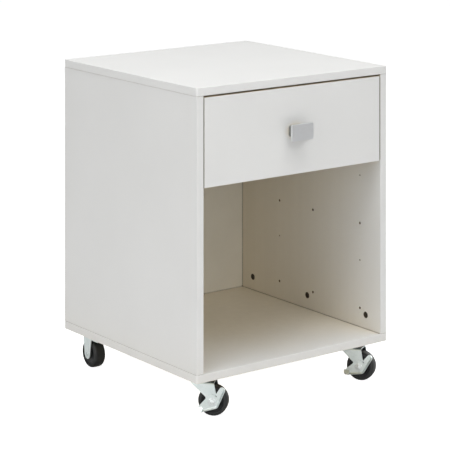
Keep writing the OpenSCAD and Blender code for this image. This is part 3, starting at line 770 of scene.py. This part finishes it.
def brake(name, matrix, axle):
    """The brake lever: a stamped plate with a pressed rib, a bent lip and a pedal."""
    plate = prism(lever_outline(), 0.0, LEVER_T)
    ease(plate, sharp_edges(plate, math.radians(50)), 0.3, 2)
    rib = prism(capsule(*RIB_ENDS, RIB_R), LEVER_T - 0.3, LEVER_T + RIB_H)
    ease(rib, [e for e in sharp_edges(rib) if min(v.co.z for v in e.verts) > LEVER_T * MM], 0.8)
    face = joined((plate, flange(), rib))
    bmesh.ops.transform(face, matrix=Matrix.Rotation(math.radians(90), 4, "X"), verts=face.verts)
    bm = joined((face, pedal()))
    turn = Matrix.Rotation(math.radians(LEVER_TURN[name]), 4, "Y")
    bmesh.ops.transform(bm, matrix=turn, verts=bm.verts)
    placed(bm, matrix, (axle[0], -FORK_OUT - LEVER_GAP, axle[1]))
    add_piece(name + "_brake_look", bm, name + "_brake_lever", ("caster_steel",),
              name + "_brake", smooth=40.0)


def mounting_plates():
    """The four pressed plates with the upper bearing cup drawn down from each."""
    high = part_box("caster_plates")[1].z / MM
    under = high - PLATE_T
    outline = rounded(*PLATE_HALF, PLATE_CORNER, 6)
    lip = RACE_Z + RACE_GAP
    cup = [(KINGPIN_BORE, lip), (RACE_R - RACE_LIP, lip)] + groove(lip, RACE_DEPTH)[::-1][1:]
    cup += [(DISC_R - 0.8, lip), (DISC_R - 0.2, lip + 0.5), (DISC_R, lip + 1.2),
            (DISC_R - 0.1, lip + 2.8), (DISC_R - 0.9, lip + 3.7), (DISC_R - 2.2, lip + 4.2),
            (12.6, lip + 5.4), (12.0, under - 1.0), (12.6, under + 0.1),
            (KINGPIN_BORE, under + 0.1)]
    for name in ALL_CASTERS:
        plate = prism(outline, under, high)
        ease(plate, sharp_edges(plate), 0.5)
        bm = joined((plate, upright(cup)))
        placed(bm, Matrix.Translation(caster_frame(name)[0].translation))
        add_piece(name + "_plate_look", bm, "cabinet", ("caster_steel",), "caster_plates",
                  smooth=40.0)


def casters():
    """The four casters, each turned as its joints say. The front two have brakes."""
    mounting_plates()
    for name in ALL_CASTERS:
        matrix, trail, height = caster_frame(name)
        axle = (trail, height)
        fork(name, matrix, axle)
        axle_rivet(name, matrix, axle)
        tyre(name, matrix, axle, height)
        hub(name, matrix, axle)
        if name in FRONT_CASTERS:
            brake(name, matrix, axle)


# ---- CAD nodes that keep their shape ----

def finish_cad_nodes():
    """Gives each CAD node its own material, or the one of its slot in the record."""
    for entry in frame["record"]["subparts"]:
        node = frame["nodes"][entry["node"]]
        node.data.materials.clear()
        name = NODE_MATERIAL.get(entry["node"], entry["material_slot"])
        node.data.materials.append(MATERIALS[name])
        node.data.shade_smooth()
        node.data.set_sharp_from_angle(angle=math.radians(30))


# ---- Studio ----

def floor():
    """A pale floor that the camera sees as white and that other rays see as a plain surface."""
    bm = bmesh.new()
    bmesh.ops.create_grid(bm, x_segments=1, y_segments=1, size=FLOOR_HALF)
    mesh = bpy.data.meshes.new("floor")
    bm.to_mesh(mesh)
    bm.free()
    plane = bpy.data.objects.new("floor", mesh)
    bpy.context.scene.collection.objects.link(plane)
    shader = Shader("floor", roughness=1.0)
    shader.surface.inputs["Base Color"].default_value = (0.80, 0.80, 0.80, 1.0)
    shader.surface.inputs["Specular IOR Level"].default_value = 0.0
    shader.surface.inputs["Emission Color"].default_value = (1.0, 1.0, 1.0, 1.0)
    seen = shader.node("ShaderNodeLightPath").outputs["Is Camera Ray"]
    glow = shader.span(seen, 0.0, FLOOR_GLOW, 0.0, 1.0)
    shader.link(glow, shader.surface.inputs["Emission Strength"])
    mesh.materials.append(shader.material)


def surroundings():
    """A white studio: bright to the camera, softer in reflections and softest as a light."""
    world = bpy.data.worlds.new("studio")
    bpy.context.scene.world = world
    world.use_nodes = True
    nodes = world.node_tree.nodes
    links = world.node_tree.links
    back = nodes["Background"]
    back.inputs["Color"].default_value = (1.0, 1.0, 1.0, 1.0)
    path = nodes.new("ShaderNodeLightPath")
    strength = None
    for ray, chosen in (("Is Glossy Ray", WORLD_GLOSS), ("Is Camera Ray", WORLD_SEEN)):
        span = nodes.new("ShaderNodeMapRange")
        span.inputs["To Min"].default_value = WORLD_LIGHT
        span.inputs["To Max"].default_value = chosen
        links.new(path.outputs[ray], span.inputs["Value"])
        if strength:
            links.new(strength, span.inputs["To Min"])
        strength = span.outputs["Result"]
    links.new(strength, back.inputs["Strength"])


def soft_light(name, place, size, power):
    """A square lamp aimed at the middle of the cabinet. The size is in metres."""
    aim = Vector((0.0, 0.0, 0.35))
    data = bpy.data.lights.new(name, "AREA")
    data.shape = "SQUARE"
    data.size = size
    data.energy = power
    lamp = bpy.data.objects.new(name, data)
    bpy.context.scene.collection.objects.link(lamp)
    lamp.location = place
    lamp.rotation_euler = (aim - Vector(place)).to_track_quat("-Z", "Y").to_euler()


def lights():
    """One lamp above, two in front and one on each other side."""
    soft_light("overhead", (-0.3, -0.6, 3.2), 2.6, 77.0)
    soft_light("front", (-0.9, -3.3, 1.6), 2.4, 35.0)
    soft_light("left", (-3.4, -0.6, 1.5), 2.4, 41.0)
    soft_light("over_front", (0.5, -2.6, 2.8), 1.6, 8.0)
    soft_light("right", (3.4, 0.9, 0.9), 2.0, 34.0)
    soft_light("behind", (0.4, 3.4, 0.9), 2.0, 26.0)


def camera():
    """The level, shifted camera.

    The shift follows the rotation mode, which is 1 for the angles set here and 0 for a
    quaternion, so a camera that is turned to another view has no shift.
    """
    data = bpy.data.cameras.new("camera")
    data.lens = LENS
    data.sensor_width = SENSOR
    data.clip_end = 100.0
    cam = bpy.data.objects.new("camera", data)
    bpy.context.scene.collection.objects.link(cam)
    bpy.context.scene.camera = cam
    cam.rotation_mode = "XYZ"
    cam.rotation_euler = (math.radians(90), 0, math.radians(-YAW))
    cam.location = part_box("bottom_panel")[0] + FROM_CORNER * MM
    driver = data.driver_add("shift_y").driver
    driver.type = "SCRIPTED"
    level = driver.variables.new()
    level.name = "level"
    level.targets[0].id = cam
    level.targets[0].data_path = "rotation_mode"
    driver.expression = f"level * ({SHIFT})"


def look():
    """Plain colours and a denoised picture."""
    scene = bpy.context.scene
    scene.view_settings.view_transform = "Standard"
    scene.cycles.use_denoising = True


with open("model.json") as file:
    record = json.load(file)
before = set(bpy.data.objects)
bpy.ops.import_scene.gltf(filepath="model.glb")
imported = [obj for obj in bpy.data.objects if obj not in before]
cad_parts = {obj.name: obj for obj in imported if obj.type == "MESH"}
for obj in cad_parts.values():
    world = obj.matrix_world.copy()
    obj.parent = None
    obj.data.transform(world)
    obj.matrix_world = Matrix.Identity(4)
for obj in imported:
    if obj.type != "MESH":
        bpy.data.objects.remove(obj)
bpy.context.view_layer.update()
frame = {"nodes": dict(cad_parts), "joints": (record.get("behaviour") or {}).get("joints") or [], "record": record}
MATERIALS = make_materials()
finish_cad_nodes()
carcass()
drawer()
handle()
casters()
floor()
surroundings()
lights()
camera()
look()
